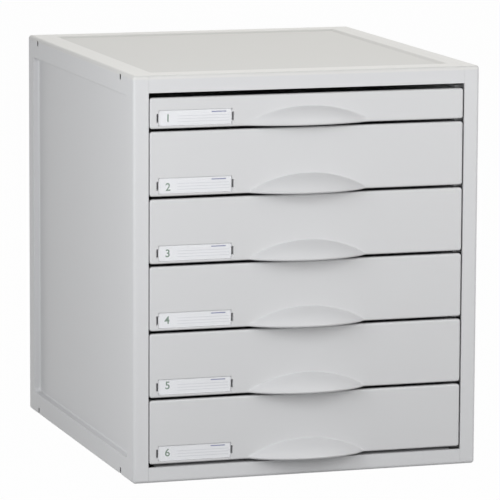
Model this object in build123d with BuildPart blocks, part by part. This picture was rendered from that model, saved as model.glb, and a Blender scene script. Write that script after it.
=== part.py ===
from build123d import *
import os
from math import sqrt

# Desktop drawer cabinet in moulded plastic: one shallow drawer over a stack of
# tall ones.  All sizes are in millimetres.
# X runs to the right as seen from the front, Y to the back, Z up.
# The origin is under the middle of the whole object, grips included.

os.makedirs("parts", exist_ok=True)

# ---------------------------------------------------------------------------
# Driving dimensions
# ---------------------------------------------------------------------------

# Carcass
cabinet_width = 302.0
cabinet_depth = 340.0
wall = 2.4
outer_radius = 2.8
stile_width = 13.3
bottom_rail_height = 13.1
top_rail_height = 14.5
seam_gap = 0.1
tolerance = 0.01

# Stack of drawers
tall_drawers = 5
tall_front_height = 53.5
shallow_front_height = 25.5
front_gap = 2.5
bottom_gap = 2.7
top_gap = 4.2
side_gap = 1.0

# Corners of the sunk fields in the panels, seen from outside
field_corner_radius = 4.0

# Sunk field of each side panel
side_border = 18.3
side_field_depth = 5.5
side_field_slope = 1.0
side_field_radius = 1.5
side_mouth_radius = 0.8

# Sunk field of the top panel
top_border = 21.0
top_field_depth = 1.5
top_field_slope = 3.0

# Rails of the top and bottom panels
top_rail_return = 9.0
bottom_ledge_depth = 18.0
ledge_corner_gap = 8.0
floor_height = 6.8

# Snap tabs that join the top and bottom panels to the sides
tab_length = 16.0
tab_height = 4.4
tab_slit = 3.0
tab_ramp_depth = 2.4
tab_ramp_length = 7.6
tab_clearance = 0.3
tab_root = 6.0
front_tab_offset = 20.5
rear_tab_offset = 16.5
notch_length = 13.0
front_notch_height = 3.4
rear_notch_height = 1.6

# Runners moulded inside the side panels
runner_thickness = 2.2
runner_front_offset = 14.0
runner_clearance = 0.3
guide_clearance = 0.6
runner_side_gap = 0.8

# Trays
tray_wall = 1.8
tray_corner_radius = 5.0
tray_side_gap = 4.3
tray_lift = 3.0
tray_drop = 1.5
tray_rear_gap = 0.5
flange_thickness = 2.0
flange_side_gap = 1.2
drawer_travel = 250.0
stop_length = 8.0
stop_clearance = 0.3
stop_reach = 4.5

# Drawer fronts
front_thickness = 2.5
front_corner_radius = 2.2
front_edge_radius = 1.4
front_rim_depth = 9.0
front_rim_wall = 1.8
front_standoff = 2.0
clip_spacing = 188.0
clip_width = 10.0
clip_thickness = 3.0
clip_clearance = 0.3
clip_drop = 8.0
clip_boss_margin = 2.0
clip_hook = 1.5

# Grips: half-moon hoods, open underneath
grip_half_span = 52.5
grip_rise = 15.0
tall_grip_reach = 18.5
shallow_grip_reach = 11.5
grip_axis_setback = 5.0
grip_wall = 2.2

# Label holders
label_width = 62.6
label_height = 12.5
label_edge_offset = 7.7
label_lift = 2.4
label_margin = 0.4
label_pocket_depth = 1.2
card_thickness = 0.3
window_thickness = 0.8
window_tongue = 0.8
window_tongue_height = 5.5
window_tongue_length = 1.5
label_slot_width = 1.9
label_slot_height = 6.4

# ---------------------------------------------------------------------------
# Sizes that follow
# ---------------------------------------------------------------------------

half_width = cabinet_width / 2
front_y = (tall_grip_reach - cabinet_depth) / 2
rear_y = front_y + cabinet_depth
opening_half = half_width - stile_width
front_width = 2 * (opening_half - side_gap)

drawer_pitch = tall_front_height + front_gap
first_front_z = bottom_rail_height + bottom_gap
shallow_front_z = first_front_z + tall_drawers * drawer_pitch
opening_top = shallow_front_z + shallow_front_height + top_gap
cabinet_height = opening_top + top_rail_height

panel_half = opening_half - seam_gap
back_front_y = rear_y - 2 * wall
stile_back_y = front_y + wall

plate_back_y = front_y + front_thickness
tray_front_y = plate_back_y + front_standoff
tray_rear_y = back_front_y - tray_rear_gap
tray_half = opening_half - tray_side_gap
flange_half = opening_half - flange_side_gap
stop_half = opening_half + stop_reach
stop_front_y = stile_back_y + drawer_travel + stop_clearance
flange_front_y = front_y + front_rim_depth + clip_clearance

tab_front_y = front_y + front_tab_offset
tab_rear_y = rear_y - rear_tab_offset - tab_length
tab_starts = (tab_front_y, tab_rear_y)
slit_starts = (tab_front_y + tab_length, tab_rear_y - tab_slit)

label_left = -front_width / 2 + label_edge_offset
label_right = label_left + label_width


def block(low, high, mode=Mode.ADD):
    """Box between two opposite corners."""
    size = [abs(b - a) for a, b in zip(low, high)]
    centre = [(a + b) / 2 for a, b in zip(low, high)]
    with Locations(tuple(centre)):
        Box(*size, mode=mode)


def sunk_field(plane, width, height, depth, slope):
    """Cut a shallow field with sloping sides into the face at the plane."""
    with BuildSketch(plane) as mouth:
        RectangleRounded(width, height, field_corner_radius)
    with BuildSketch(plane.offset(-depth)) as floor:
        RectangleRounded(width - 2 * slope, height - 2 * slope, field_corner_radius - slope)
    loft(sections=[mouth.sketch, floor.sketch], ruled=True, mode=Mode.SUBTRACT)


def undercut(side, outer_x, start_y, low_z):
    """Cut a ramp that runs inwards and to the rear, as high as a snap tab."""
    inner_x = side * (outer_x - tab_ramp_depth)
    with BuildSketch(Plane.XY.offset(low_z)) as ramp:
        Polygon((side * outer_x, start_y), (inner_x, start_y + tab_ramp_length),
                (inner_x, start_y), align=None)
    extrude(ramp.sketch, amount=tab_height, mode=Mode.SUBTRACT)


def flange_top(bottom_z, height):
    """Height of a tray's rim for a drawer front at the given height."""
    return bottom_z + height - tray_drop


# Every drawer front as (lower edge, height, reach of its grip), from the top
drawer_fronts = [(shallow_front_z, shallow_front_height, shallow_grip_reach)]
for step in reversed(range(tall_drawers)):
    drawer_fronts.append((first_front_z + step * drawer_pitch, tall_front_height, tall_grip_reach))


# ---------------------------------------------------------------------------
# Carcass
# ---------------------------------------------------------------------------

def side_panel(side):
    """Side panel, a shallow pan whose rim makes the stile, with runners inside.

    side is -1 for the left panel and 1 for the right one.
    """

    def at(inset):
        return side * (half_width - inset)

    outward = Vector(side, 0, 0)
    outer_plane = Plane(origin=(at(0), (front_y + rear_y) / 2, cabinet_height / 2),
                        x_dir=(0, side, 0), z_dir=outward)
    field_back = side_field_depth + wall
    ring = side_border - wall

    with BuildPart() as panel:
        block((at(0), front_y, 0), (at(stile_width), rear_y, cabinet_height))
        outer_face = panel.faces().sort_by(Axis.X)[-1 if side > 0 else 0]
        rounded = outer_face.edges() + panel.edges().filter_by(Axis.X)
        fillet(rounded, outer_radius)

        # Hollow inside: the middle first, then the deeper ring behind the border
        block((at(field_back), front_y + wall, wall),
              (at(stile_width), rear_y - wall, cabinet_height - wall), Mode.SUBTRACT)
        with BuildSketch(outer_plane.offset(-wall)):
            Rectangle(cabinet_depth - 2 * wall, cabinet_height - 2 * wall)
            Rectangle(cabinet_depth - 2 * ring, cabinet_height - 2 * ring, mode=Mode.SUBTRACT)
        extrude(amount=wall - field_back, mode=Mode.SUBTRACT)

        # A runner under each tray rim and a guide over it
        rib_edge = side * (tray_half + runner_side_gap)
        for bottom_z, height, _ in drawer_fronts:
            rim_top = flange_top(bottom_z, height)
            runner_top = rim_top - flange_thickness - runner_clearance
            guide_bottom = rim_top + guide_clearance
            for rib_z in (runner_top - runner_thickness, guide_bottom):
                block((at(wall), front_y + runner_front_offset, rib_z),
                      (rib_edge, back_front_y, rib_z + runner_thickness))

        sunk_field(outer_plane, cabinet_depth - 2 * side_border,
                   cabinet_height - 2 * side_border, side_field_depth, side_field_slope)
        border = panel.faces().filter_by(Axis.X).sort_by(Axis.X)[-1 if side > 0 else 0]
        fillet(border.inner_wires()[0].edges(), side_mouth_radius)
        field_floor = [face for face in panel.faces().filter_by(Axis.X)
                       if abs(face.center().X - at(side_field_depth)) < tolerance]
        fillet(field_floor[0].edges(), side_field_radius)

        # Windows for the snap tabs, each with a slit at the end nearer the middle
        for tab_start, slit_start in zip(tab_starts, slit_starts):
            start = min(tab_start - tab_clearance, slit_start)
            end = max(tab_start + tab_length + tab_clearance, slit_start + tab_slit)
            for low in (wall, cabinet_height - wall - tab_height):
                block((at(0), start, low), (at(wall), end, low + tab_height), Mode.SUBTRACT)
        for low in (wall, cabinet_height - wall - tab_height):
            undercut(side, half_width, slit_starts[0] + tab_slit, low)

        # Wedge-shaped notches in the lower edge, behind each slit
        for slit_start, notch_height in zip(slit_starts, (front_notch_height, rear_notch_height)):
            with BuildSketch(Plane(origin=(at(wall), slit_start, 0),
                                   x_dir=(0, side, 0), z_dir=outward)):
                Polygon((0, 0), (side * notch_length, 0), (0, notch_height), align=None)
            extrude(amount=wall, mode=Mode.SUBTRACT)
    return panel


def snap_tabs(low_z):
    """Tabs that reach out through the windows of both side panels."""
    for side in (-1, 1):
        for start in tab_starts:
            block((side * (panel_half - tab_root), start, low_z),
                  (side * half_width, start + tab_length, low_z + tab_height))
        undercut(side, half_width, tab_rear_y, low_z)


left_side_panel = side_panel(-1)
left_side_panel.part.label = "left_side_panel"
export_step(left_side_panel.part, "parts/left_side_panel.step")

right_side_panel = side_panel(1)
right_side_panel.part.label = "right_side_panel"
export_step(right_side_panel.part, "parts/right_side_panel.step")

top_plate_z = cabinet_height - wall
top_field_z = top_plate_z - top_field_depth
with BuildPart() as top_panel:
    block((-panel_half, front_y, opening_top), (panel_half, rear_y, cabinet_height))
    fillet(top_panel.faces().sort_by(Axis.Z)[-1].edges().filter_by(Axis.X), outer_radius)
    block((-panel_half, front_y + wall, opening_top),
          (panel_half, rear_y - wall, top_plate_z), Mode.SUBTRACT)
    block((-panel_half, front_y + wall, opening_top),
          (panel_half, front_y + top_rail_return, opening_top + wall))
    # Thicker underneath where the field above is sunk
    block((-(half_width - top_border), front_y + top_border, top_field_z),
          (half_width - top_border, rear_y - top_border, top_plate_z))
    sunk_field(Plane(origin=(0, (front_y + rear_y) / 2, cabinet_height)),
               cabinet_width - 2 * top_border, cabinet_depth - 2 * top_border,
               top_field_depth, top_field_slope)
    snap_tabs(top_plate_z - tab_height)
top_panel.part.label = "top_panel"
export_step(top_panel.part, "parts/top_panel.step")

with BuildPart() as bottom_panel:
    block((-panel_half, front_y, 0), (panel_half, rear_y, bottom_rail_height))
    fillet(bottom_panel.faces().sort_by(Axis.Z)[0].edges().filter_by(Axis.X), outer_radius)
    block((-panel_half, front_y + wall, 0),
          (panel_half, rear_y - wall, bottom_rail_height), Mode.SUBTRACT)
    block((-panel_half, front_y + wall, floor_height),
          (panel_half, rear_y - wall, floor_height + wall))
    # Ledge behind the front rail, short of the sides
    block((ledge_corner_gap - panel_half, front_y + wall, floor_height),
          (panel_half - ledge_corner_gap, front_y + bottom_ledge_depth, bottom_rail_height))
    snap_tabs(floor_height - tab_height)
bottom_panel.part.label = "bottom_panel"
export_step(bottom_panel.part, "parts/bottom_panel.step")

with BuildPart() as back_panel:
    back_half = half_width - wall - seam_gap
    block((-back_half, back_front_y, floor_height + wall),
          (back_half, rear_y - wall, top_plate_z))
back_panel.part.label = "back_panel"
export_step(back_panel.part, "parts/back_panel.step")


# ---------------------------------------------------------------------------
# Drawers
# ---------------------------------------------------------------------------

def drawer_tray(bottom_z, height):
    """Open tray with side rims that slide on the runners, and end stops."""
    floor_z = bottom_z + tray_lift
    rim_z = flange_top(bottom_z, height)
    length = tray_rear_y - tray_front_y
    middle_y = (tray_front_y + tray_rear_y) / 2
    with BuildPart() as tray:
        with BuildSketch(Plane(origin=(0, middle_y, floor_z))):
            RectangleRounded(2 * tray_half, length, tray_corner_radius)
        extrude(amount=rim_z - floor_z)
        with BuildSketch(Plane(origin=(0, middle_y, floor_z + tray_wall))):
            RectangleRounded(2 * (tray_half - tray_wall), length - 2 * tray_wall,
                             tray_corner_radius - tray_wall)
        extrude(amount=rim_z - floor_z, mode=Mode.SUBTRACT)
        for side in (-1, 1):
            inner_x = side * (tray_half - tray_wall)
            block((inner_x, flange_front_y, rim_z - flange_thickness),
                  (side * flange_half, tray_rear_y - tray_corner_radius, rim_z))
            block((inner_x, stop_front_y, rim_z - flange_thickness),
                  (side * stop_half, stop_front_y + stop_length, rim_z))
        # Slots for the clips of the front
        for x in (-clip_spacing / 2, clip_spacing / 2):
            slot_z = bottom_z + height - clip_drop
            block((x - clip_width / 2 - clip_clearance, tray_front_y,
                   slot_z - clip_thickness / 2 - clip_clearance),
                  (x + clip_width / 2 + clip_clearance, tray_front_y + tray_wall,
                   slot_z + clip_thickness / 2 + clip_clearance), Mode.SUBTRACT)
    return tray


def grip_hood(lower_edge, reach, inset):
    """Solid of the half-moon hood, or of its hollow where inset is the wall.

    A flat arc turned about an axis behind and below the front's lower edge.
    """
    drop = (reach ** 2 + 2 * reach * grip_axis_setback - grip_rise ** 2) / (2 * grip_rise)
    crown = sqrt((reach + grip_axis_setback) ** 2 + drop ** 2) - inset
    end = sqrt(grip_axis_setback ** 2 + drop ** 2) - inset
    half_span = grip_half_span - inset
    axis_point = (0, front_y + grip_axis_setback, lower_edge - drop)
    with BuildPart() as hood:
        with BuildSketch(Plane(origin=axis_point)):
            with BuildLine():
                ThreePointArc((half_span, end), (0, crown), (-half_span, end))
                Polyline((-half_span, end), (-half_span, 0), (half_span, 0), (half_span, end))
            make_face()
        revolve(axis=Axis(axis_point, (1, 0, 0)))
        block((-half_span, front_y - reach, lower_edge),
              (half_span, plate_back_y, lower_edge + shallow_front_height), Mode.INTERSECT)
    return hood.part


def drawer_front(bottom_z, height, reach):
    """Front with returned edges, a half-moon grip, a label pocket and clips."""
    hood = grip_hood(bottom_z, reach, 0)
    hollow = grip_hood(bottom_z, reach, grip_wall)
    half = front_width / 2
    top_z = bottom_z + height
    clip_z = top_z - clip_drop
    with BuildPart() as front:
        with BuildSketch(Plane(origin=(0, plate_back_y, bottom_z + height / 2),
                               x_dir=(1, 0, 0), z_dir=(0, -1, 0))):
            RectangleRounded(front_width, height, front_corner_radius)
        extrude(amount=front_thickness)
        fillet(front.faces().sort_by(Axis.Y)[0].edges(), front_edge_radius)
        # Returned edges along the top and both sides
        rim_back_y = front_y + front_rim_depth
        for side in (-1, 1):
            block((side * half, plate_back_y, bottom_z + front_corner_radius),
                  (side * (half - front_rim_wall), rim_back_y, top_z - front_corner_radius))
        block((front_corner_radius - half, plate_back_y, top_z - front_rim_wall),
              (half - front_corner_radius, tray_front_y - clip_clearance, top_z))
        add(hood)
        add(hollow, mode=Mode.SUBTRACT)
        # Clips that hook through the front wall of the tray
        for x in (-clip_spacing / 2, clip_spacing / 2):
            block((x - clip_width / 2 - clip_boss_margin, plate_back_y,
                   clip_z - clip_thickness / 2 - clip_boss_margin),
                  (x + clip_width / 2 + clip_boss_margin, tray_front_y,
                   clip_z + clip_thickness / 2 + clip_boss_margin))
            block((x - clip_width / 2, tray_front_y, clip_z - clip_thickness / 2),
                  (x + clip_width / 2, tray_front_y + tray_wall + clip_hook, clip_z + clip_thickness / 2))
        # Label pocket, and a slot through the plate at each end of it
        label_z = bottom_z + label_lift
        block((label_left - label_margin, front_y, label_z - label_margin),
              (label_right + label_margin, front_y + label_pocket_depth,
               label_z + label_height + label_margin), Mode.SUBTRACT)
        slot_low = label_z + (label_height - label_slot_height) / 2
        for end_x, side in ((label_left, -1), (label_right, 1)):
            block((end_x, front_y, slot_low),
                  (end_x + side * label_slot_width, plate_back_y, slot_low + label_slot_height),
                  Mode.SUBTRACT)
    return front


def label_card(bottom_z):
    """Paper card at the back of the label pocket."""
    label_z = bottom_z + label_lift
    back_y = front_y + label_pocket_depth
    with BuildPart() as card:
        block((label_left, back_y - card_thickness, label_z),
              (label_right, back_y, label_z + label_height))
    return card


def label_window(bottom_z):
    """Clear cover over the card, with a tongue into the slot at each end."""
    label_z = bottom_z + label_lift
    back_y = front_y + label_pocket_depth - card_thickness
    tongue_low = label_z + (label_height - window_tongue_height) / 2
    with BuildPart() as window:
        block((label_left, back_y - window_thickness, label_z),
              (label_right, back_y, label_z + label_height))
        fillet(window.edges().filter_by(Axis.Y), front_edge_radius)
        for end_x, side in ((label_left, -1), (label_right, 1)):
            block((end_x, back_y - window_thickness, tongue_low),
                  (end_x + side * window_tongue, plate_back_y + window_tongue_length,
                   tongue_low + window_tongue_height))
    return window


for number, (bottom_z, height, reach) in enumerate(drawer_fronts, start=1):
    pieces = {
        "tray": drawer_tray(bottom_z, height),
        "front": drawer_front(bottom_z, height, reach),
        "label_card": label_card(bottom_z),
        "label_window": label_window(bottom_z),
    }
    for name, piece in pieces.items():
        node = f"drawer_{number}_{name}"
        piece.part.label = node
        export_step(piece.part, f"parts/{node}.step")

print("travel of each drawer", drawer_travel, "mm, height of the cabinet", cabinet_height, "mm")
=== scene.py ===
"""Looks of the desktop drawer cabinet: moulded grey plastic, label holders, light and camera.

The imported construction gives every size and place.  This file dresses it and replaces
the drawer fronts, the label windows and the cards with finely modelled pieces.
"""

import logging
import math
from dataclasses import dataclass
from enum import Enum

import bmesh
import bpy
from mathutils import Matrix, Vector

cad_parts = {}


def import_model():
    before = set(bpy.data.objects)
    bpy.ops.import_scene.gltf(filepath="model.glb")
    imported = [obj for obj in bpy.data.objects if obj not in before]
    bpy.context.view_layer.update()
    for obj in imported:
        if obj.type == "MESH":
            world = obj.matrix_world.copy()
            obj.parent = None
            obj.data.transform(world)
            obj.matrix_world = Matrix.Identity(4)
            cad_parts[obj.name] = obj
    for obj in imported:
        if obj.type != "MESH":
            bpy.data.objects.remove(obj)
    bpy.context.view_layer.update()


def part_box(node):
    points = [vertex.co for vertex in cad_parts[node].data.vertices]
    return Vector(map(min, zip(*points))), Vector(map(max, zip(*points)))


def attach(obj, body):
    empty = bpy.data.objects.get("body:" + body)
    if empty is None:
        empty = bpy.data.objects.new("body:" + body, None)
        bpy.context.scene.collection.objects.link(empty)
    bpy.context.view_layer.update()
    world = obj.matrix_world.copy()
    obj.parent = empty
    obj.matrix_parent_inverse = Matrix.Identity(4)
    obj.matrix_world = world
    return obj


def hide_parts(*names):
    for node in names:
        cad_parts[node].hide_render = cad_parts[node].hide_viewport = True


LOG = logging.getLogger("drawer_cabinet")
MM = 0.001
DRAWER_COUNT = 6
PLASTIC_IOR = 1.5
NOISE_MIDDLE = 0.5
# Two places closer than this are one place
TOUCH = 1e-7
# Two directions with a larger dot product than this are parallel
PARALLEL = 0.9
# Shape of a bevel that follows a quarter circle
ROUND = 0.5

Point = tuple[float, float, float]
Colour = tuple[float, float, float]
WHITE: Colour = (1.0, 1.0, 1.0)


# ---------------------------------------------------------------------------
# Shader graphs
# ---------------------------------------------------------------------------

class Signal:
    """An output socket that takes part in arithmetic, adding Math nodes as it goes."""

    def __init__(self, graph: "Graph", socket: bpy.types.NodeSocket) -> None:
        """Wrap a socket.

        Args:
            graph: The graph that the socket belongs to.
            socket: The output socket.
        """
        self.graph = graph
        self.socket = socket

    def _math(self, operation: str, first: "Signal | float", second: "Signal | float") -> "Signal":
        """Return the result of one Math node on two values."""
        return self.graph.node("ShaderNodeMath", {"operation": operation}, {0: first, 1: second})

    def __add__(self, other: "Signal | float") -> "Signal":
        """Return self + other."""
        return self._math("ADD", self, other)

    def __radd__(self, other: float) -> "Signal":
        """Return other + self."""
        return self._math("ADD", other, self)

    def __sub__(self, other: "Signal | float") -> "Signal":
        """Return self - other."""
        return self._math("SUBTRACT", self, other)

    def __rsub__(self, other: float) -> "Signal":
        """Return other - self."""
        return self._math("SUBTRACT", other, self)

    def __mul__(self, other: "Signal | float") -> "Signal":
        """Return self * other."""
        return self._math("MULTIPLY", self, other)

    def __rmul__(self, other: float) -> "Signal":
        """Return other * self."""
        return self._math("MULTIPLY", other, self)

    def __lt__(self, other: "Signal | float") -> "Signal":
        """Return 1 where self is less than other, else 0."""
        return self._math("LESS_THAN", self, other)

    def __gt__(self, other: "Signal | float") -> "Signal":
        """Return 1 where self is greater than other, else 0."""
        return self._math("GREATER_THAN", self, other)

    def ramp(self, at_zero: float, at_one: float) -> "Signal":
        """Return 0 at one number, 1 at another, and a straight line between."""
        return self.graph.node("ShaderNodeMapRange", {"clamp": True}, {
            "Value": self, "From Min": at_zero, "From Max": at_one, "To Min": 0.0, "To Max": 1.0,
        })

    def distance(self, other: float) -> "Signal":
        """Return the absolute difference from a number."""
        return self.graph.node("ShaderNodeMath", {"operation": "ABSOLUTE"}, {0: self - other})


class Graph:
    """The node graph of one material, or of the world."""

    def __init__(self, owner: bpy.types.Material | bpy.types.World,
                 output: str = "ShaderNodeOutputMaterial") -> None:
        """Empty the owner's graph and give it an output.

        Args:
            owner: The material or the world.
            output: Type of the output node.
        """
        owner.use_nodes = True
        self.owner = owner
        self.tree = owner.node_tree
        self.tree.nodes.clear()
        self.output = self.tree.nodes.new(output)

    def node(self, kind: str, settings: dict[str, object] | None = None,
             inputs: dict[str | int, object] | None = None, output: str | int = 0) -> Signal:
        """Add a node.

        Args:
            kind: The node's type.
            settings: Attributes of the node, set first.
            inputs: Values or signals for its sockets, by name or number.
            output: The output to return.

        Returns:
            The chosen output as a signal.
        """
        made = self.tree.nodes.new(kind)
        for key, value in (settings or {}).items():
            setattr(made, key, value)
        for key, value in (inputs or {}).items():
            if isinstance(value, Signal):
                self.tree.links.new(value.socket, made.inputs[key])
            else:
                made.inputs[key].default_value = value
        return Signal(self, made.outputs[output])

    def blend(self, amount: Signal, first: object, second: object) -> Signal:
        """Return a colour that goes from the first to the second with the amount."""
        return self.node("ShaderNodeMix", {"data_type": "RGBA"},
                         {0: amount, 6: first, 7: second}, output=2)

    def place(self, space: str) -> tuple[Signal, Signal, Signal]:
        """Split the surface point's place into its three parts.

        Args:
            space: The texture space to measure in, by its name on the node.

        Returns:
            The place along X, Y and Z.
        """
        point = self.node("ShaderNodeTexCoord", output=space)
        outputs = self.node("ShaderNodeSeparateXYZ", None, {0: point}).socket.node.outputs
        return tuple(Signal(self, outputs[axis]) for axis in "XYZ")

    def noise(self, scale: float, detail: float = 2.0) -> Signal:
        """Add smooth noise in object space.

        Args:
            scale: Waves per metre.
            detail: Octaves of finer noise.

        Returns:
            The noise, from 0 to 1.
        """
        place = self.node("ShaderNodeTexCoord", output="Object")
        return self.node("ShaderNodeTexNoise", None,
                         {"Vector": place, "Scale": scale, "Detail": detail}, output="Fac")

    def bump(self, height: Signal, strength: float, depth: float) -> Signal:
        """Return the normal of a fine relief, with its depth in metres."""
        return self.node("ShaderNodeBump", None,
                         {"Strength": strength, "Distance": depth, "Height": height})

    def plastic(self, colour: Signal, roughness: Signal, normal: Signal) -> Signal:
        """Return the shader of an opaque plastic."""
        return self.node("ShaderNodeBsdfPrincipled", None, {
            "Base Color": colour, "Roughness": roughness, "Normal": normal, "IOR": PLASTIC_IOR,
        })

    def background_rays(self) -> Signal:
        """Pick out the rays that see the background.

        Returns:
            1 for the camera's rays and for those that gloss and glass send on, else 0.
        """
        camera = self.node("ShaderNodeLightPath", output="Is Camera Ray")
        outputs = camera.socket.node.outputs
        glossy = Signal(self, outputs["Is Glossy Ray"])
        through = Signal(self, outputs["Is Transmission Ray"])
        return (camera + glossy + through).ramp(0.0, 1.0)

    def finish(self, shader: Signal) -> bpy.types.Material | bpy.types.World:
        """Link the shader to the output and return the graph's owner."""
        self.tree.links.new(shader.socket, self.output.inputs["Surface"])
        return self.owner


def rgba(colour: Colour, share: float = 1.0) -> tuple[float, float, float, float]:
    """Return a share of a colour, with an alpha of 1."""
    return (*(channel * share for channel in colour), 1.0)


# ---------------------------------------------------------------------------
# Finishes
# ---------------------------------------------------------------------------

@dataclass(frozen=True)
class MouldedPlastic:
    """Satin polystyrene: a fine spark-eroded grain, slow flow waves and slight mottling."""

    name: str
    colour: Colour
    shade: float = 0.985
    roughness: float = 0.40
    roughness_spread: float = 0.10
    grain_per_metre: float = 2600.0
    grain_depth: float = 0.00004
    wave_per_metre: float = 22.0
    wave_height: float = 6.0
    mottle_per_metre: float = 9.0
    relief: float = 0.25

    def material(self) -> bpy.types.Material:
        """Make the finish.

        Returns:
            The material.
        """
        graph = Graph(bpy.data.materials.new(self.name))
        mottle = graph.noise(self.mottle_per_metre, 3.0)
        grain = graph.noise(self.grain_per_metre)
        waves = graph.noise(self.wave_per_metre, 1.0)
        colour = graph.blend(mottle, rgba(self.colour), rgba(self.colour, self.shade))
        roughness = self.roughness + (grain - NOISE_MIDDLE) * self.roughness_spread
        normal = graph.bump(grain + waves * self.wave_height, self.relief, self.grain_depth)
        return graph.finish(graph.plastic(colour, roughness, normal))


@dataclass(frozen=True)
class CarcassPlastic:
    """Plastic of the carcass: grey, with a smooth rim on top round a rougher field; the rim's paler
    colour is painted sheen and the field's darker colour is painted shade.
    """

    name: str
    colour: Colour
    border_colour: Colour
    field_colour: Colour
    half_x: float
    low_y: float
    high_y: float
    skin_z: float
    soft: float = 1.5 * MM
    roughness: float = 0.38
    field_roughness: float = 0.52
    border_roughness: float = 0.47
    roughness_spread: float = 0.08
    grain_per_metre: float = 2400.0
    grain_depth: float = 0.00005
    relief: float = 0.3
    mottle_per_metre: float = 9.0
    mottle_amount: float = 0.05
    mottle_shade: float = 0.8

    def _inside(self, value: Signal, low: float, high: float) -> Signal:
        """Return 1 between two places, with a soft edge at both, and 0 elsewhere."""
        middle, half = (low + high) / 2, (high - low) / 2
        return value.distance(middle).ramp(half + self.soft, half - self.soft)

    def material(self) -> bpy.types.Material:
        """Make the finish.

        Returns:
            The material.
        """
        graph = Graph(bpy.data.materials.new(self.name))
        across, along, up = graph.place("Object")
        skin = up.ramp(self.skin_z, self.skin_z + self.soft)
        within_width = self._inside(across, -self.half_x, self.half_x)
        field = within_width * self._inside(along, self.low_y, self.high_y)
        grain = graph.noise(self.grain_per_metre)
        mottle = graph.noise(self.mottle_per_metre, 3.0)
        # Painted sheen and shade: the top's rim is painted paler and its field darker, on what is one
        # plastic
        top = graph.blend(field, rgba(self.border_colour), rgba(self.field_colour))
        colour = graph.blend(skin, rgba(self.colour), top)
        mottled = graph.blend(mottle * self.mottle_amount, colour, rgba(self.colour, self.mottle_shade))
        top_roughness = self.border_roughness + field * (self.field_roughness - self.border_roughness)
        roughness = self.roughness + skin * (top_roughness - self.roughness)
        roughness = roughness + (grain - NOISE_MIDDLE) * self.roughness_spread
        normal = graph.bump(grain, self.relief, self.grain_depth)
        return graph.finish(graph.plastic(mottled, roughness, normal))


@dataclass(frozen=True)
class ClearPlastic:
    """Clear polished sheet, a little hazy."""

    name: str
    colour: Colour
    roughness: float = 0.06
    body: float = 0.05
    haze_per_metre: float = 25.0
    haze_roughness: float = 0.04
    haze_body: float = 0.02

    def material(self) -> bpy.types.Material:
        """Make the finish.

        Returns:
            The material.
        """
        graph = Graph(bpy.data.materials.new(self.name))
        haze = graph.noise(self.haze_per_metre)
        return graph.finish(graph.node("ShaderNodeBsdfPrincipled", None, {
            "Base Color": rgba(self.colour), "IOR": PLASTIC_IOR,
            "Roughness": self.roughness + haze * self.haze_roughness,
            "Alpha": self.body + haze * self.haze_body,
        }))


@dataclass(frozen=True)
class RuledCard:
    """White card with thin ruled lines and one short printed bar, placed by shares of its size."""

    name: str
    paper: Colour
    line: Colour
    bar: Colour
    line_levels: tuple[float, ...] = (0.24, 0.43, 0.62)
    line_start: float = 0.26
    line_end: float = 0.97
    line_half: float = 0.018
    bar_level: float = 0.84
    bar_start: float = 0.725
    bar_end: float = 0.925
    bar_half: float = 0.035
    roughness: float = 0.8
    fibre_per_metre: float = 900.0
    fibre_shade: float = 0.96
    fibre_depth: float = 0.00003
    relief: float = 0.2

    def material(self) -> bpy.types.Material:
        """Make the finish.

        Returns:
            The material.
        """
        graph = Graph(bpy.data.materials.new(self.name))
        across, _, up = graph.place("Generated")
        inside = (across > self.line_start) * (across < self.line_end)
        lines = up.distance(self.line_levels[0]) < self.line_half
        for level in self.line_levels[1:]:
            lines = lines + (up.distance(level) < self.line_half)
        within = (across > self.bar_start) * (across < self.bar_end)
        bar = (up.distance(self.bar_level) < self.bar_half) * within
        fibre = graph.noise(self.fibre_per_metre, 3.0)
        paper = graph.blend(fibre, rgba(self.paper), rgba(self.paper, self.fibre_shade))
        ruled = graph.blend(lines * inside, paper, rgba(self.line))
        return graph.finish(graph.node("ShaderNodeBsdfPrincipled", None, {
            "Base Color": graph.blend(bar, ruled, rgba(self.bar)), "Roughness": self.roughness,
            "Normal": graph.bump(fibre, self.relief, self.fibre_depth),
        }))


@dataclass(frozen=True)
class PrintedInk:
    """Flat printing ink with a slightly uneven coat."""

    name: str
    colour: Colour
    roughness: float = 0.6
    coat_per_metre: float = 1500.0
    coat_paler: float = 0.08

    def material(self) -> bpy.types.Material:
        """Make the finish.

        Returns:
            The material.
        """
        graph = Graph(bpy.data.materials.new(self.name))
        coat = graph.noise(self.coat_per_metre)
        paler = tuple(channel + self.coat_paler for channel in self.colour)
        return graph.finish(graph.node("ShaderNodeBsdfPrincipled", None, {
            "Base Color": graph.blend(coat, rgba(self.colour), rgba(paler)),
            "Roughness": self.roughness,
        }))


class Finish(Enum):
    """The finishes of the cabinet."""

    GREY = MouldedPlastic("light_grey_plastic", (0.655, 0.657, 0.665))
    # The carcass's top rim is painted paler as painted sheen, and its field darker as painted shade
    CARCASS = CarcassPlastic(
        "carcass_plastic", (0.662, 0.665, 0.675),
        border_colour=(0.715, 0.711, 0.697), field_colour=(0.600, 0.597, 0.581),
        half_x=130.0 * MM, low_y=-139.75 * MM, high_y=158.25 * MM, skin_z=336.0 * MM)
    CLEAR = ClearPlastic("clear_window_plastic", (0.90, 0.91, 0.93))
    CARD = RuledCard("ruled_card", paper=(0.84, 0.845, 0.865), line=(0.66, 0.67, 0.70),
                     bar=(0.18, 0.20, 0.36))
    INK = PrintedInk("green_ink", (0.12, 0.20, 0.14))


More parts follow.
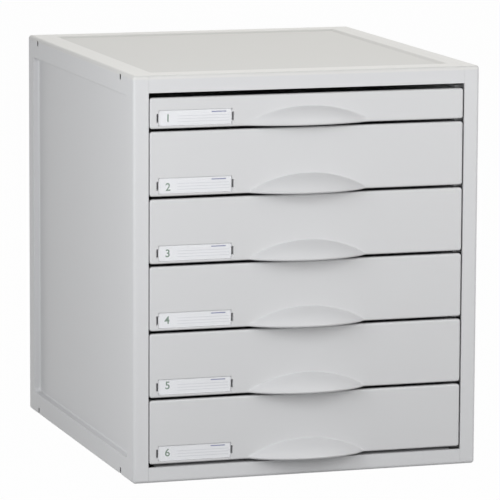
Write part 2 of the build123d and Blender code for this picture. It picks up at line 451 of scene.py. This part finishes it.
class Wardrobe:
    """Makes each finish's material once."""

    def __init__(self) -> None:
        """Start with no materials."""
        self._made: dict[Finish, bpy.types.Material] = {}

    def get(self, finish: Finish) -> bpy.types.Material:
        """Look up the material of a finish, and make it the first time.

        Args:
            finish: The finish.

        Returns:
            Its material.
        """
        if finish not in self._made:
            self._made[finish] = finish.value.material()
        return self._made[finish]

    def dress(self, piece: bpy.types.Object, finish: Finish) -> None:
        """Give a piece one finish all over."""
        piece.data.materials.clear()
        piece.data.materials.append(self.get(finish))


# ---------------------------------------------------------------------------
# Mesh helpers
# ---------------------------------------------------------------------------

def add_object(name: str, mesh: bpy.types.Mesh) -> bpy.types.Object:
    """Put a mesh in the scene.

    Args:
        name: Name of the new object.
        mesh: Its mesh.

    Returns:
        The object.
    """
    piece = bpy.data.objects.new(name, mesh)
    bpy.context.scene.collection.objects.link(piece)
    return piece


def shade(mesh: bpy.types.Mesh, sharp_angle: float = math.radians(32.0)) -> None:
    """Shade a mesh smooth, apart from edges over an angle."""
    mesh.polygons.foreach_set("use_smooth", [True] * len(mesh.polygons))
    mesh.set_sharp_from_angle(angle=sharp_angle)


def spread(breaks: list[float], fine: float, coarse: float,
           fine_from: float, fine_to: float) -> list[float]:
    """Fill the stretches between break points with evenly spaced lines.

    Args:
        breaks: Places that must have a line.
        fine: Widest step inside the fine stretch.
        coarse: Widest step elsewhere.
        fine_from: Where the fine stretch starts.
        fine_to: Where it ends.

    Returns:
        All lines, in order.
    """
    marks = sorted(set(round(mark, 7) for mark in [*breaks, fine_from, fine_to]))
    lines = [marks[0]]
    for start, end in zip(marks, marks[1:]):
        widest = fine if fine_from <= (start + end) / 2 <= fine_to else coarse
        steps = max(1, math.ceil((end - start) / widest))
        lines += [start + (end - start) * step / steps for step in range(1, steps + 1)]
    return lines


def soft_step(value: float, knee: float) -> float:
    """Cut off what is under 0, with a soft knee.

    Args:
        value: The value.
        knee: Distance from 0 over which the cut is soft.

    Returns:
        The value well over 0, and 0 well under it.
    """
    if value <= -knee:
        return 0.0
    if value >= knee:
        return value
    return (value + knee) ** 2 / (4 * knee)


def add_block(made: bmesh.types.BMesh, low: Point, high: Point) -> None:
    """Add a closed box to a mesh.

    Args:
        made: The mesh.
        low: The box's lowest corner.
        high: Its highest corner.
    """
    size = [b - a for a, b in zip(low, high)]
    centre = Vector([(a + b) / 2 for a, b in zip(low, high)])
    corners = bmesh.ops.create_cube(made, size=1.0)["verts"]
    bmesh.ops.scale(made, vec=size, verts=corners)
    bmesh.ops.translate(made, vec=centre, verts=corners)


def add_rounded_plate(made: bmesh.types.BMesh, low: Point, high: Point, corner: float,
                      rim: float, corner_steps: int = 6, rim_steps: int = 2) -> None:
    """Add an upright plate with rounded corners and a softened front rim to an empty mesh.

    Args:
        made: The mesh.
        low: The lowest corner of the plate's box.
        high: The highest corner.
        corner: Radius of the four corners.
        rim: Radius of the front rim, or 0 for a sharp one.
        corner_steps: Faces round a corner.
        rim_steps: Faces over the rim.
    """
    add_block(made, low, high)
    along = [e for e in made.edges if abs((e.verts[0].co - e.verts[1].co).normalized().y) > PARALLEL]
    bmesh.ops.bevel(made, geom=along, offset=corner, segments=corner_steps, profile=ROUND,
                    affect="EDGES")
    if rim:
        front = [e for e in made.edges if all(abs(v.co.y - low[1]) < TOUCH for v in e.verts)]
        bmesh.ops.bevel(made, geom=front, offset=rim, segments=rim_steps, profile=ROUND,
                        affect="EDGES")


def finish_mesh(made: bmesh.types.BMesh, name: str) -> bpy.types.Object:
    """Turn a mesh under construction into a shaded object of the scene.

    Args:
        made: The mesh under construction, which is freed.
        name: Name of the object.

    Returns:
        The object.
    """
    mesh = bpy.data.meshes.new(name)
    made.to_mesh(mesh)
    made.free()
    shade(mesh)
    return add_object(name, mesh)


# ---------------------------------------------------------------------------
# Drawers
# ---------------------------------------------------------------------------

@dataclass(frozen=True)
class LabelSizes:
    """Sizes of a label holder that the solids don't give by their boxes."""

    margin: float = 0.4 * MM
    pocket_depth: float = 1.2 * MM
    slot_width: float = 1.9 * MM
    slot_height: float = 6.4 * MM
    slot_slack: float = 0.01 * MM
    wall_slope: float = 0.12 * MM
    corner_radius: float = 1.4 * MM
    rim_radius: float = 0.25 * MM
    window: float = 0.7 * MM
    tongue_height: float = 5.5 * MM


@dataclass(frozen=True)
class MeshSteps:
    """How closely the lines of a front's mesh lie, round the hood and elsewhere."""

    fine_column: float = 1.25 * MM
    coarse_column: float = 8.0 * MM
    fine_row: float = 0.8 * MM
    coarse_row: float = 6.0 * MM
    beside_hood: float = 3.0 * MM
    above_hood: float = 2.5 * MM
    corner_shares: tuple[float, ...] = (0.0, 0.33, 0.64, 1.0)
    edge: int = 5


@dataclass
class DrawerFront:
    """A drawer front: plate with rounded edges, half-moon hood, pocket and returned edges."""

    number: int
    plane_y: float
    plate: float = 2.5 * MM
    corner_radius: float = 2.2 * MM
    edge_radius: float = 1.5 * MM
    least_wall: float = 0.2 * MM
    rim_wall: float = 1.8 * MM
    rim_depth: float = 9.0 * MM
    top_rim_depth: float = 4.2 * MM
    clip_x: float = 94.0 * MM
    clip_drop: float = 8.0 * MM
    clip_half_width: float = 5.0 * MM
    clip_half_height: float = 1.5 * MM
    clip_boss: float = 2.0 * MM
    clip_stand: float = 2.0 * MM
    clip_reach: float = 3.3 * MM
    half_span: float = 52.5 * MM
    rise: float = 15.0 * MM
    setback: float = 5.0 * MM
    hood_wall: float = 2.2 * MM
    crease: float = 2.2 * MM
    label: LabelSizes = LabelSizes()
    steps: MeshSteps = MeshSteps()

    def __post_init__(self) -> None:
        """Read the front's and the card's boxes from the frame."""
        self.node = f"drawer_{self.number}_front"
        self.low, self.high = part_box(self.node)
        self.card_low, self.card_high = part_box(f"drawer_{self.number}_label_card")
        self.reach = self.plane_y - self.low.y
        self.drop = (self.reach ** 2 + 2 * self.reach * self.setback - self.rise ** 2) / (2 * self.rise)
        self.crown = math.hypot(self.reach + self.setback, self.drop)
        self.end = math.hypot(self.setback, self.drop)

    def hood(self, x: float, z: float, inset: float) -> float:
        """Return how far the hood stands out of the front plane.

        Args:
            x: Distance from the cabinet's middle.
            z: Height over the front's lower edge.
            inset: 0 for the outside, or the hood's wall for its hollow.

        Returns:
            The distance, which is negative behind the plane.
        """
        half, sagitta = self.half_span - inset, self.crown - self.end
        curve = (half ** 2 + sagitta ** 2) / (2 * sagitta)
        radius = max(self.crown - inset - curve + math.sqrt(max(curve ** 2 - x ** 2, 0.0)), 0.0)
        left = radius ** 2 - (z + self.drop) ** 2
        return math.sqrt(max(left, 0.0)) - self.setback

    def front_y(self, x: float, z: float) -> float:
        """Find the outside surface.

        Args:
            x: Distance from the cabinet's middle.
            z: Height over the front's lower edge.

        Returns:
            The surface's place along Y.
        """
        y = self.plane_y - min(soft_step(self.hood(x, z, 0.0), self.crease), self.reach)
        if self._in_pocket(x, z + self.low.z):
            y += self.label.pocket_depth
        return y

    def back_y(self, x: float, z: float) -> float:
        """Return the inside surface's place along Y, for the same two distances."""
        hollow = self.hood(x, z, self.hood_wall) + self.plate
        return self.plane_y + self.plate - soft_step(hollow, self.crease)

    def _in_pocket(self, x: float, z: float) -> bool:
        """Tell whether a point lies in the label pocket.

        Args:
            x: Place across the cabinet.
            z: Height over the floor.

        Returns:
            True in the pocket or in one of its slots.
        """
        gap = self.label.margin - self.label.wall_slope / 2
        in_card = self.card_low.x - gap <= x <= self.card_high.x + gap
        in_rows = self.card_low.z - gap <= z <= self.card_high.z + gap
        return (in_card and in_rows) or self._in_slot(x, z)

    def _slots(self) -> list[tuple[float, float, float, float]]:
        """Place the two slots at the label's ends.

        Returns:
            Each slot as its left, right, lower and upper edges.
        """
        middle = (self.card_low.z + self.card_high.z) / 2
        low, high = middle - self.label.slot_height / 2, middle + self.label.slot_height / 2
        width = self.label.slot_width
        left, right = self.card_low.x, self.card_high.x
        return [(left - width, left, low, high), (right, right + width, low, high)]

    def _in_slot(self, x: float, z: float) -> bool:
        """Tell whether a point is inside one of the slots at the label's ends."""
        slack = self.label.slot_slack
        return any(left - slack <= x <= right + slack and low - slack <= z <= high + slack
                   for left, right, low, high in self._slots())

    def _corner_marks(self, low: float, high: float) -> list[float]:
        """Set lines close to both ends of a side, for the rounded corners.

        Args:
            low: The side's lower end.
            high: Its upper end.

        Returns:
            The lines.
        """
        radius = self.corner_radius - self.edge_radius
        steps = [share * radius for share in self.steps.corner_shares]
        return [low + step for step in steps] + [high - step for step in steps]

    def _columns(self) -> list[float]:
        """Set the mesh's lines across the front.

        Returns:
            Their places along X.
        """
        inset = self.edge_radius
        marks = self._corner_marks(self.low.x + inset, self.high.x - inset)
        gap, slope = self.label.margin, self.label.wall_slope
        for left, right, _, _ in self._slots():
            marks += [left - slope, left, right, right + slope]
        marks += [self.card_low.x - gap, self.card_low.x - gap + slope]
        marks += [self.card_high.x + gap - slope, self.card_high.x + gap]
        reach = self.half_span + self.steps.beside_hood
        return spread(marks, self.steps.fine_column, self.steps.coarse_column, -reach, reach)

    def _rows(self) -> list[float]:
        """Set the mesh's lines up the front.

        Returns:
            Their heights.
        """
        inset = self.edge_radius
        marks = self._corner_marks(self.low.z + inset, self.high.z - inset)
        gap, slope = self.label.margin, self.label.wall_slope
        marks += [self.card_low.z - gap, self.card_low.z - gap + slope]
        marks += [self.card_high.z + gap - slope, self.card_high.z + gap]
        for _, _, low, high in self._slots():
            marks += [low, high]
        fine_top = self.low.z + self.rise + self.steps.above_hood
        return spread(marks, self.steps.fine_row, self.steps.coarse_row, self.low.z + inset, fine_top)

    def _round_corner(self, x: float, z: float) -> tuple[float, float, float, float]:
        """Pull a point of the mesh's border onto the rounded corner.

        Args:
            x: Place across the cabinet.
            z: Height.

        Returns:
            The point, and the direction that points outwards there.
        """
        radius = self.corner_radius - self.edge_radius
        inset = self.corner_radius
        centre_x = min(max(x, self.low.x + inset), self.high.x - inset)
        centre_z = min(max(z, self.low.z + inset), self.high.z - inset)
        away_x, away_z = x - centre_x, z - centre_z
        length = math.hypot(away_x, away_z)
        if length < TOUCH:
            return x, z, 0.0, 0.0
        if away_x and away_z and length > radius:
            x = centre_x + away_x * radius / length
            z = centre_z + away_z * radius / length
        return x, z, away_x / length, away_z / length

    def _sheet(self, made: bmesh.types.BMesh, columns: list[float], rows: list[float],
               inside: bool) -> list[list[bmesh.types.BMVert]]:
        """Add the points of one surface to the mesh.

        Args:
            made: The mesh.
            columns: The mesh's lines across the front.
            rows: The mesh's lines up the front.
            inside: Whether it is the inside surface.

        Returns:
            The points, by column and then by row.
        """
        points = []
        for i, x in enumerate(columns):
            points.append([])
            for k, z in enumerate(rows):
                px, pz = x, z
                if i in (0, len(columns) - 1) or k in (0, len(rows) - 1):
                    px, pz, _, _ = self._round_corner(x, z)
                height = pz - self.low.z
                y = self.back_y(px, height) if inside else self.front_y(px, height)
                points[i].append(made.verts.new((px, y, pz)))
        return points

    def build(self) -> bpy.types.Object:
        """Make the front's piece.

        Returns:
            The object.
        """
        columns, rows = self._columns(), self._rows()
        made = bmesh.new()
        outside = self._sheet(made, columns, rows, False)
        inside = self._sheet(made, columns, rows, True)
        last_i, last_k = len(columns) - 1, len(rows) - 1

        def open_cell(i: int, k: int) -> bool:
            """Tell whether a cell of the grid is open.

            Args:
                i: The cell's column.
                k: The cell's row.

            Returns:
                True for a slot's cell, and for one outside the grid.
            """
            if not (0 <= i < last_i and 0 <= k < last_k):
                return True
            return self._in_slot((columns[i] + columns[i + 1]) / 2, (rows[k] + rows[k + 1]) / 2)

        for i in range(last_i):
            for k in range(last_k):
                if open_cell(i, k):
                    continue
                around = ((i, k), (i + 1, k), (i + 1, k + 1), (i, k + 1))
                made.faces.new([outside[a][b] for a, b in around])
                made.faces.new([inside[a][b] for a, b in (around[0], *reversed(around[1:]))])
                # Walls of the slots, where the next cell over an edge of this one is open
                beyond = ((i, k - 1), (i + 1, k), (i, k + 1), (i - 1, k))
                for (a, b), (c, d), cell in zip(around, (*around[1:], around[0]), beyond):
                    in_grid = 0 <= cell[0] < last_i and 0 <= cell[1] < last_k
                    if in_grid and open_cell(*cell):
                        made.faces.new((outside[c][d], outside[a][b], inside[a][b], inside[c][d]))

        self._close_border(made, columns, rows, outside, inside)
        self._add_returns(made)
        self._add_clips(made)
        loose = [v for v in made.verts if not v.link_faces]
        bmesh.ops.delete(made, geom=loose, context="VERTS")
        return finish_mesh(made, f"drawer_{self.number}_moulded_front")

    def _close_border(self, made: bmesh.types.BMesh, columns: list[float], rows: list[float],
                      outside: list[list[bmesh.types.BMVert]],
                      inside: list[list[bmesh.types.BMVert]]) -> None:
        """Round the front's outer edge and join the two surfaces there.

        Args:
            made: The mesh.
            columns: The mesh's lines across the front.
            rows: The mesh's lines up the front.
            outside: Points of the outside surface.
            inside: Points of the inside surface.
        """
        last_i, last_k = len(columns) - 1, len(rows) - 1
        path = [(i, 0) for i in range(last_i)] + [(last_i, k) for k in range(last_k)]
        path += [(i, last_k) for i in range(last_i, 0, -1)] + [(0, k) for k in range(last_k, 0, -1)]
        rings = [[outside[i][k] for i, k in path]]
        for step in range(1, self.steps.edge + 1):
            angle = math.pi / 2 * step / self.steps.edge
            ring = []
            for i, k in path:
                x, z, out_x, out_z = self._round_corner(columns[i], rows[k])
                y = outside[i][k].co.y + self.edge_radius * (1 - math.cos(angle))
                away = self.edge_radius * math.sin(angle)
                ring.append(made.verts.new((x + out_x * away, y, z + out_z * away)))
            rings.append(ring)
        rings.append([])
        for place, (i, k) in enumerate(path):
            rim = rings[-2][place].co
            back = max(inside[i][k].co.y, rim.y + self.least_wall)
            rings[-1].append(made.verts.new((rim.x, back, rim.z)))
        rings.append([inside[i][k] for i, k in path])
        for first, second in zip(rings, rings[1:]):
            for a in range(len(path)):
                b = (a + 1) % len(path)
                made.faces.new((first[b], first[a], second[a], second[b]))

    def _add_returns(self, made: bmesh.types.BMesh) -> None:
        """Add the returned edges behind the top and both sides."""
        back, inset = self.plane_y + self.plate, self.corner_radius
        left, right = self.low.x, self.high.x
        for start, end in ((left, left + self.rim_wall), (right - self.rim_wall, right)):
            add_block(made, (start, back, self.low.z + inset),
                      (end, self.plane_y + self.rim_depth, self.high.z - inset))
        add_block(made, (left + inset, back, self.high.z - self.rim_wall),
                  (right - inset, self.plane_y + self.top_rim_depth, self.high.z))

    def _add_clips(self, made: bmesh.types.BMesh) -> None:
        """Add the two clips that hook through the tray's front wall."""
        back = self.plane_y + self.plate
        tray = back + self.clip_stand
        wide, tall, margin = self.clip_half_width, self.clip_half_height, self.clip_boss
        z = self.high.z - self.clip_drop
        for x in (-self.clip_x, self.clip_x):
            add_block(made, (x - wide - margin, back, z - tall - margin),
                      (x + wide + margin, tray, z + tall + margin))
            add_block(made, (x - wide, tray, z - tall),
                      (x + wide, tray + self.clip_reach, z + tall))


@dataclass
class Drawer:
    """One drawer's pieces: tray, front, label window, card and index number."""

    number: int
    plane_y: float
    wardrobe: Wardrobe
    label: LabelSizes = LabelSizes()
    figure_size: float = 9.0 * MM
    figure_inset: float = 8.0 * MM
    figure_half_thickness: float = 0.012 * MM
    figure_swell: float = 0.14 * MM

    @property
    def body(self) -> str:
        """Name of the body that the pieces ride on."""
        return f"drawer_{self.number}"

    def build(self) -> None:
        """Make and dress every piece of the drawer."""
        self._tray()
        self._front()
        self._window()
        self._card()
        self._index_number()

    def _report(self, piece: bpy.types.Object, role: str) -> None:
        """Log a piece with its number of points."""
        LOG.info("%s: %s, %d points", self.body, role, len(piece.data.vertices))

    def _tray(self) -> None:
        """Dress the tray's solid."""
        tray = bpy.data.objects[f"drawer_{self.number}_tray"]
        self.wardrobe.dress(tray, Finish.GREY)
        self._report(tray, "tray")

    def _front(self) -> None:
        """Replace the front's solid with the finely modelled one."""
        front = DrawerFront(self.number, self.plane_y).build()
        self.wardrobe.dress(front, Finish.GREY)
        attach(front, self.body)
        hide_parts(f"drawer_{self.number}_front")
        self._report(front, "front")

    def _window(self) -> None:
        """Make the clear cover with its rounded corners and tongues."""
        node = f"drawer_{self.number}_label_window"
        low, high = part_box(node)
        card_low, card_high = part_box(f"drawer_{self.number}_label_card")
        made = bmesh.new()
        add_rounded_plate(made, (card_low.x, low.y, card_low.z),
                          (card_high.x, low.y + self.label.window, card_high.z),
                          self.label.corner_radius, self.label.rim_radius)
        middle, half = (low.z + high.z) / 2, self.label.tongue_height / 2
        for start, end in ((low.x, card_low.x), (card_high.x, high.x)):
            add_block(made, (start, low.y, middle - half), (end, high.y, middle + half))
        window = finish_mesh(made, f"drawer_{self.number}_clear_window")
        self.wardrobe.dress(window, Finish.CLEAR)
        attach(window, self.body)
        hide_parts(node)
        self._report(window, "label window")

    def _card(self) -> None:
        """Make the card with its rounded corners."""
        node = f"drawer_{self.number}_label_card"
        low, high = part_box(node)
        made = bmesh.new()
        add_rounded_plate(made, tuple(low), tuple(high), self.label.corner_radius, 0.0)
        card = finish_mesh(made, f"drawer_{self.number}_ruled_card")
        self.wardrobe.dress(card, Finish.CARD)
        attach(card, self.body)
        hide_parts(node)
        self._report(card, "label card")

    def _index_number(self) -> None:
        """Print the drawer's number on its card as a thin raised figure."""
        low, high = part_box(f"drawer_{self.number}_label_card")
        curve = bpy.data.curves.new(f"index_{self.number}", "FONT")
        curve.body = str(self.number)
        curve.size = self.figure_size
        curve.extrude = self.figure_half_thickness
        curve.offset = self.figure_swell
        text = bpy.data.objects.new("index_source", curve)
        bpy.context.scene.collection.objects.link(text)
        bpy.context.view_layer.update()
        graph = bpy.context.evaluated_depsgraph_get()
        mesh = bpy.data.meshes.new_from_object(text.evaluated_get(graph))
        bpy.data.objects.remove(text)
        middle = Vector((low.x + self.figure_inset, low.y - self.figure_half_thickness,
                         (low.z + high.z) / 2))
        points = [v.co.copy() for v in mesh.vertices]
        centre = Vector((sum(p.x for p in points), sum(p.y for p in points), 0)) / len(points)
        for vertex, point in zip(mesh.vertices, points):
            vertex.co = Vector((point.x - centre.x, -point.z, point.y - centre.y)) + middle
        figure = add_object(f"drawer_{self.number}_index_number", mesh)
        self.wardrobe.dress(figure, Finish.INK)
        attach(figure, self.body)
        self._report(figure, "index number")


# ---------------------------------------------------------------------------
# Carcass
# ---------------------------------------------------------------------------

@dataclass
class Carcass:
    """The panels that hold the drawers."""

    wardrobe: Wardrobe
    nodes: tuple[str, ...] = ("left_side_panel", "right_side_panel", "top_panel",
                              "bottom_panel", "back_panel")

    def build(self) -> None:
        """Dress every panel."""
        for node in self.nodes:
            panel = bpy.data.objects[node]
            self.wardrobe.dress(panel, Finish.CARCASS)
            LOG.info("carcass: %s, %d points", node, len(panel.data.vertices))


# ---------------------------------------------------------------------------
# Studio
# ---------------------------------------------------------------------------

@dataclass(frozen=True)
class Softbox:
    """A square lamp that looks at the object's middle."""

    name: str
    place: Point
    size: float
    power: float
    colour: Colour
    target: Point = (0.0, 0.0, 0.17)

    def light(self) -> None:
        """Put the lamp in the scene."""
        data = bpy.data.lights.new(self.name, "AREA")
        data.shape = "SQUARE"
        data.size = self.size
        data.energy = self.power
        data.color = self.colour
        lamp = bpy.data.objects.new(self.name, data)
        lamp.location = self.place
        aim = Vector(self.target) - Vector(self.place)
        lamp.rotation_euler = aim.to_track_quat("-Z", "Y").to_euler()
        lamp.visible_camera = False
        bpy.context.scene.collection.objects.link(lamp)


@dataclass(frozen=True)
class Studio:
    """Pale floor, soft light and the camera."""

    camera_place: Point = (-1.0485, -3.2871, 0.7078)
    camera_turn: Point = (81.072, -0.268, -17.666)
    lens_mm: float = 288.89
    sensor_mm: float = 36.0
    sight: float = 50.0
    ambient: float = 0.26
    floor_size: float = 12.0
    floor_colour: Colour = (0.40, 0.40, 0.40)
    floor_white: float = 0.985
    lamps: tuple[Softbox, ...] = (
        Softbox("key", (-0.73, -0.61, 0.45), size=0.5, power=4.42, colour=(0.98, 0.99, 1.0)),
        Softbox("fill", (0.45, -0.90, 0.50), size=0.8, power=4.64, colour=WHITE),
        Softbox("overhead", (0.42, 1.00, 1.35), size=1.0, power=9.70, colour=(1.0, 0.985, 0.94)),
    )

    def build(self) -> None:
        """Set up the whole studio."""
        bpy.context.scene.view_settings.view_transform = "Standard"
        self._add_camera()
        self._light_world()
        self._lay_floor()
        for lamp in self.lamps:
            lamp.light()

    def _add_camera(self) -> None:
        """Make the camera at the photograph's viewing angle."""
        data = bpy.data.cameras.new("camera")
        data.lens = self.lens_mm
        data.sensor_width = self.sensor_mm
        data.clip_end = self.sight
        camera = bpy.data.objects.new("camera", data)
        camera.location = self.camera_place
        camera.rotation_euler = [math.radians(angle) for angle in self.camera_turn]
        bpy.context.scene.collection.objects.link(camera)
        bpy.context.scene.camera = camera

    def _light_world(self) -> None:
        """Light the scene evenly, with white behind the object and in its reflections."""
        world = bpy.data.worlds.new("studio")
        graph = Graph(world, "ShaderNodeOutputWorld")
        soft = graph.node("ShaderNodeBackground", None,
                          {"Color": rgba(WHITE), "Strength": self.ambient})
        white = graph.node("ShaderNodeBackground", None, {"Color": rgba(WHITE), "Strength": 1.0})
        seen = graph.background_rays()
        bpy.context.scene.world = graph.finish(
            graph.node("ShaderNodeMixShader", None, {0: seen, 1: soft, 2: white}))

    def _lay_floor(self) -> None:
        """Lay a pale floor that shows nearly white to the camera and keeps a soft shadow."""
        half = self.floor_size / 2
        mesh = bpy.data.meshes.new("floor")
        corner_points = [(-half, -half, 0), (half, -half, 0), (half, half, 0), (-half, half, 0)]
        mesh.from_pydata(corner_points, [], [(0, 1, 2, 3)])
        floor = add_object("floor", mesh)
        graph = Graph(bpy.data.materials.new("pale_floor"))
        lit = graph.node("ShaderNodeBsdfDiffuse", None, {"Color": rgba(self.floor_colour)})
        glow = graph.node("ShaderNodeEmission", None, {"Color": rgba(WHITE), "Strength": 1.0})
        seen = graph.background_rays() * self.floor_white
        shader = graph.node("ShaderNodeMixShader", None, {0: seen, 1: lit, 2: glow})
        mesh.materials.append(graph.finish(shader))


def corners(box: tuple[Vector, Vector]) -> list[list[float]]:
    """Return a box as plain lists of numbers."""
    return [[round(value, 6) for value in corner] for corner in box]


def main() -> None:
    """Load the frame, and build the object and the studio."""
    logging.basicConfig(level=logging.INFO, format="%(name)s %(message)s")
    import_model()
    wardrobe = Wardrobe()
    Studio().build()
    Carcass(wardrobe).build()
    plane_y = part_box("top_panel")[0].y
    for number in range(1, DRAWER_COUNT + 1):
        Drawer(number, plane_y, wardrobe).build()


if __name__ == "__main__":
    main()
